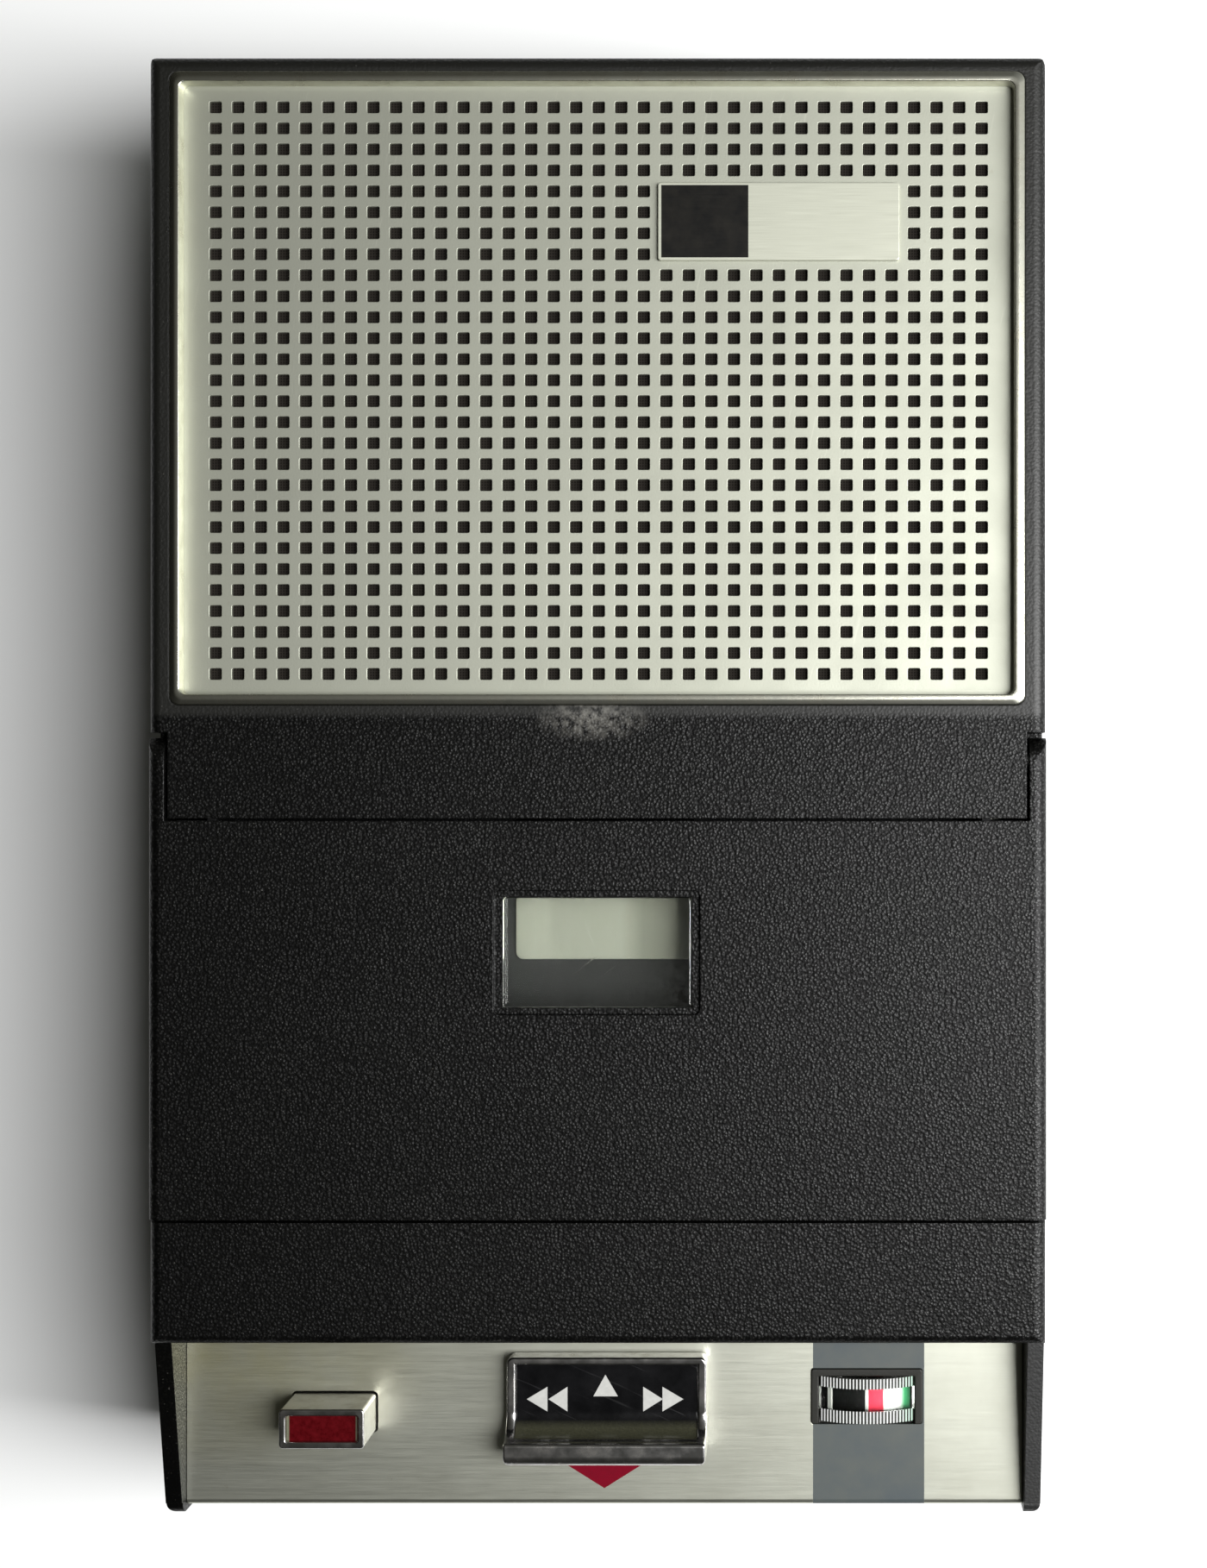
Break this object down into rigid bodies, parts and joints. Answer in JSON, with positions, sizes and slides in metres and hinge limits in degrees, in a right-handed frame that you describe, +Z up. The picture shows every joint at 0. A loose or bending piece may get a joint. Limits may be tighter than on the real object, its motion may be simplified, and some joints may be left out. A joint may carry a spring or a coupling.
{
  "type": "cassette recorder",
  "caption": "Flat portable cassette recorder: pierced speaker grille at the rear, hinged cassette lid with window, sloping control well with key, record button and meter.",
  "frame": {"origin": "centre of the footprint, on the plane that the feet stand on", "axes": "+X to the right, +Y to the rear with the speaker grille, +Z up"},
  "size_m": [0.1193, 0.1942, 0.055],
  "materials": {
    "case_black": "pebble-grained moulding",
    "panel_satin": "satin brushed sheet",
    "grille_satin": "satin pressing",
    "rim_polished": "polished",
    "cloth_black": "plain weave",
    "badge_metal": "satin, bare",
    "meter_black": "fine matt",
    "scale_white": "printed with colour bands",
    "lens_clear": "clear, ribbed edges",
    "needle_white": "matt paint",
    "chrome_plate": "bright plated",
    "cap_red": "gloss",
    "key_black": "satin gloss with white marks",
    "spring_steel": "wire and leaf",
    "zinc_steel": "zinc plated",
    "tongue_brushed": "brushed front to rear",
    "tray_black": "fine matt",
    "spindle_plastic": "smooth",
    "bronze": "sintered",
    "wheel_metal": "turned",
    "rubber_black": "ground",
    "head_can": "polished can",
    "board_brown": "laminate",
    "part_mixed": "assorted components",
    "magnet_grey": "bare",
    "paper_cone": "pressed pulp",
    "cell_jacket": "plain jacket",
    "contact_brass": "plated strip"
  },
  "bodies": {
    "case": {"lower_case": "case_black", "upper_case": "case_black", "grille_frame": "rim_polished", "grille": "grille_satin", "grille_cloth": "cloth_black", "badge_plate": "badge_metal", "front_panel": "panel_satin", "meter_housing": "meter_black", "meter_scale": "scale_white", "meter_lens": "lens_clear", "button_spring": "spring_steel", "hinge_pins": "zinc_steel", "cassette_tray": "tray_black", "deck_tongue": "tongue_brushed", "chassis_plate": "zinc_steel", "spindle_bushes": "bronze", "flywheel_bridge": "zinc_steel", "drive_motor": "zinc_steel", "motor_bracket": "zinc_steel", "drive_belt": "rubber_black", "circuit_board": "board_brown", "board_parts": "part_mixed", "level_controls": "zinc_steel", "speaker_frame": "zinc_steel", "speaker_magnet": "magnet_grey", "speaker_cone": "paper_cone", "battery_box": "tray_black", "battery_cells": "cell_jacket", "battery_contacts": "contact_brass", "din_sockets": "meter_black", "power_socket": "meter_black", "rubber_feet": "rubber_black", "case_screws": "spring_steel"},
    "lid": {"lid": "case_black", "lid_window": "lens_clear", "lid_springs": "spring_steel"},
    "needle": {"meter_needle": "needle_white"},
    "record_button": {"record_button": "chrome_plate", "record_cap": "cap_red"},
    "key_carrier": {"key_carrier": "zinc_steel"},
    "key": {"key_frame": "chrome_plate", "key_insert": "key_black"},
    "supply_spindle": {"supply_spindle": "spindle_plastic"},
    "takeup_spindle": {"takeup_spindle": "spindle_plastic"},
    "flywheel": {"flywheel": "wheel_metal", "capstan": "chrome_plate"},
    "idler": {"idler_wheel": "rubber_black"},
    "motor_pulley": {"motor_pulley": "bronze"},
    "head_carriage": {"head_carriage": "zinc_steel", "tape_head": "head_can", "erase_head": "meter_black"},
    "pinch_arm": {"pinch_arm": "zinc_steel"},
    "pinch_roller": {"pinch_roller": "rubber_black"},
    "volume_wheel": {"volume_wheel": "meter_black"},
    "level_wheel": {"level_wheel": "meter_black"},
    "battery_cover": {"battery_cover": "case_black"}
  },
  "joints": [
    {"name": "lid_hinge", "type": "hinge", "parent": "case", "child": "lid", "pos_m": [0, 0.00455, 0.052], "axis": [-1, 0, 0], "range_deg": [0, 75]},
    {"name": "meter_swing", "type": "hinge", "parent": "case", "child": "needle", "pos_m": [0.0356, -0.08165, 0.0351], "axis": [0, 1, 0], "range_deg": [0, 62], "stiffness_Nm_per_rad": 0.00002},
    {"name": "record_press", "type": "slide", "parent": "case", "child": "record_button", "axis": [0, 0, -1], "range_m": [0, 0.003], "stiffness_N_per_m": 200},
    {"name": "key_play_eject", "type": "slide", "parent": "case", "child": "key_carrier", "axis": [0, 1, 0], "range_m": [-0.002, 0.0031], "stiffness_N_per_m": 150},
    {"name": "key_wind", "type": "slide", "parent": "key_carrier", "child": "key", "axis": [1, 0, 0], "range_m": [-0.0035, 0.0035], "stiffness_N_per_m": 150},
    {"name": "supply_spin", "type": "hinge", "parent": "case", "child": "supply_spindle", "pos_m": [-0.02125, -0.02065, 0.042], "axis": [0, 0, 1], "continuous": true},
    {"name": "takeup_spin", "type": "hinge", "parent": "case", "child": "takeup_spindle", "pos_m": [0.02125, -0.02065, 0.042], "axis": [0, 0, 1], "continuous": true},
    {"name": "flywheel_spin", "type": "hinge", "parent": "case", "child": "flywheel", "pos_m": [0.0295, -0.04775, 0.028], "axis": [0, 0, 1], "continuous": true},
    {"name": "idler_spin", "type": "hinge", "parent": "case", "child": "idler", "pos_m": [0.02552, -0.03468, 0.031], "axis": [0, 0, 1], "continuous": true},
    {"name": "motor_spin", "type": "hinge", "parent": "case", "child": "motor_pulley", "pos_m": [-0.028, -0.04875, 0.028], "axis": [0, 0, 1], "continuous": true},
    {"name": "head_travel", "type": "slide", "parent": "case", "child": "head_carriage", "axis": [0, 1, 0], "range_m": [-0.0032, 0.00496]},
    {"name": "pinch_swing", "type": "hinge", "parent": "head_carriage", "child": "pinch_arm", "pos_m": [0.0405, -0.06356, 0.045], "axis": [0, 0, 1], "range_deg": [0, 5], "stiffness_Nm_per_rad": 0.05},
    {"name": "pinch_spin", "type": "hinge", "parent": "pinch_arm", "child": "pinch_roller", "pos_m": [0.0295, -0.05926, 0.045], "axis": [0, 0, 1], "continuous": true},
    {"name": "volume_turn", "type": "hinge", "parent": "case", "child": "volume_wheel", "pos_m": [0.0522, -0.08475, 0.0335], "axis": [0, 0, 1], "range_deg": [0, 300]},
    {"name": "level_turn", "type": "hinge", "parent": "case", "child": "level_wheel", "pos_m": [0.0522, -0.08475, 0.0215], "axis": [0, 0, 1], "range_deg": [0, 300]},
    {"name": "cover_slide", "type": "slide", "parent": "case", "child": "battery_cover", "axis": [0, 1, 0], "range_m": [0, 0.084]}
  ],
  "couplings": [
    {"joint": "head_travel", "follows": "key_play_eject", "ratio": 1.6},
    {"joint": "motor_spin", "follows": "flywheel_spin", "ratio": 8.48},
    {"joint": "idler_spin", "follows": "flywheel_spin", "ratio": -1.425}
  ]
}
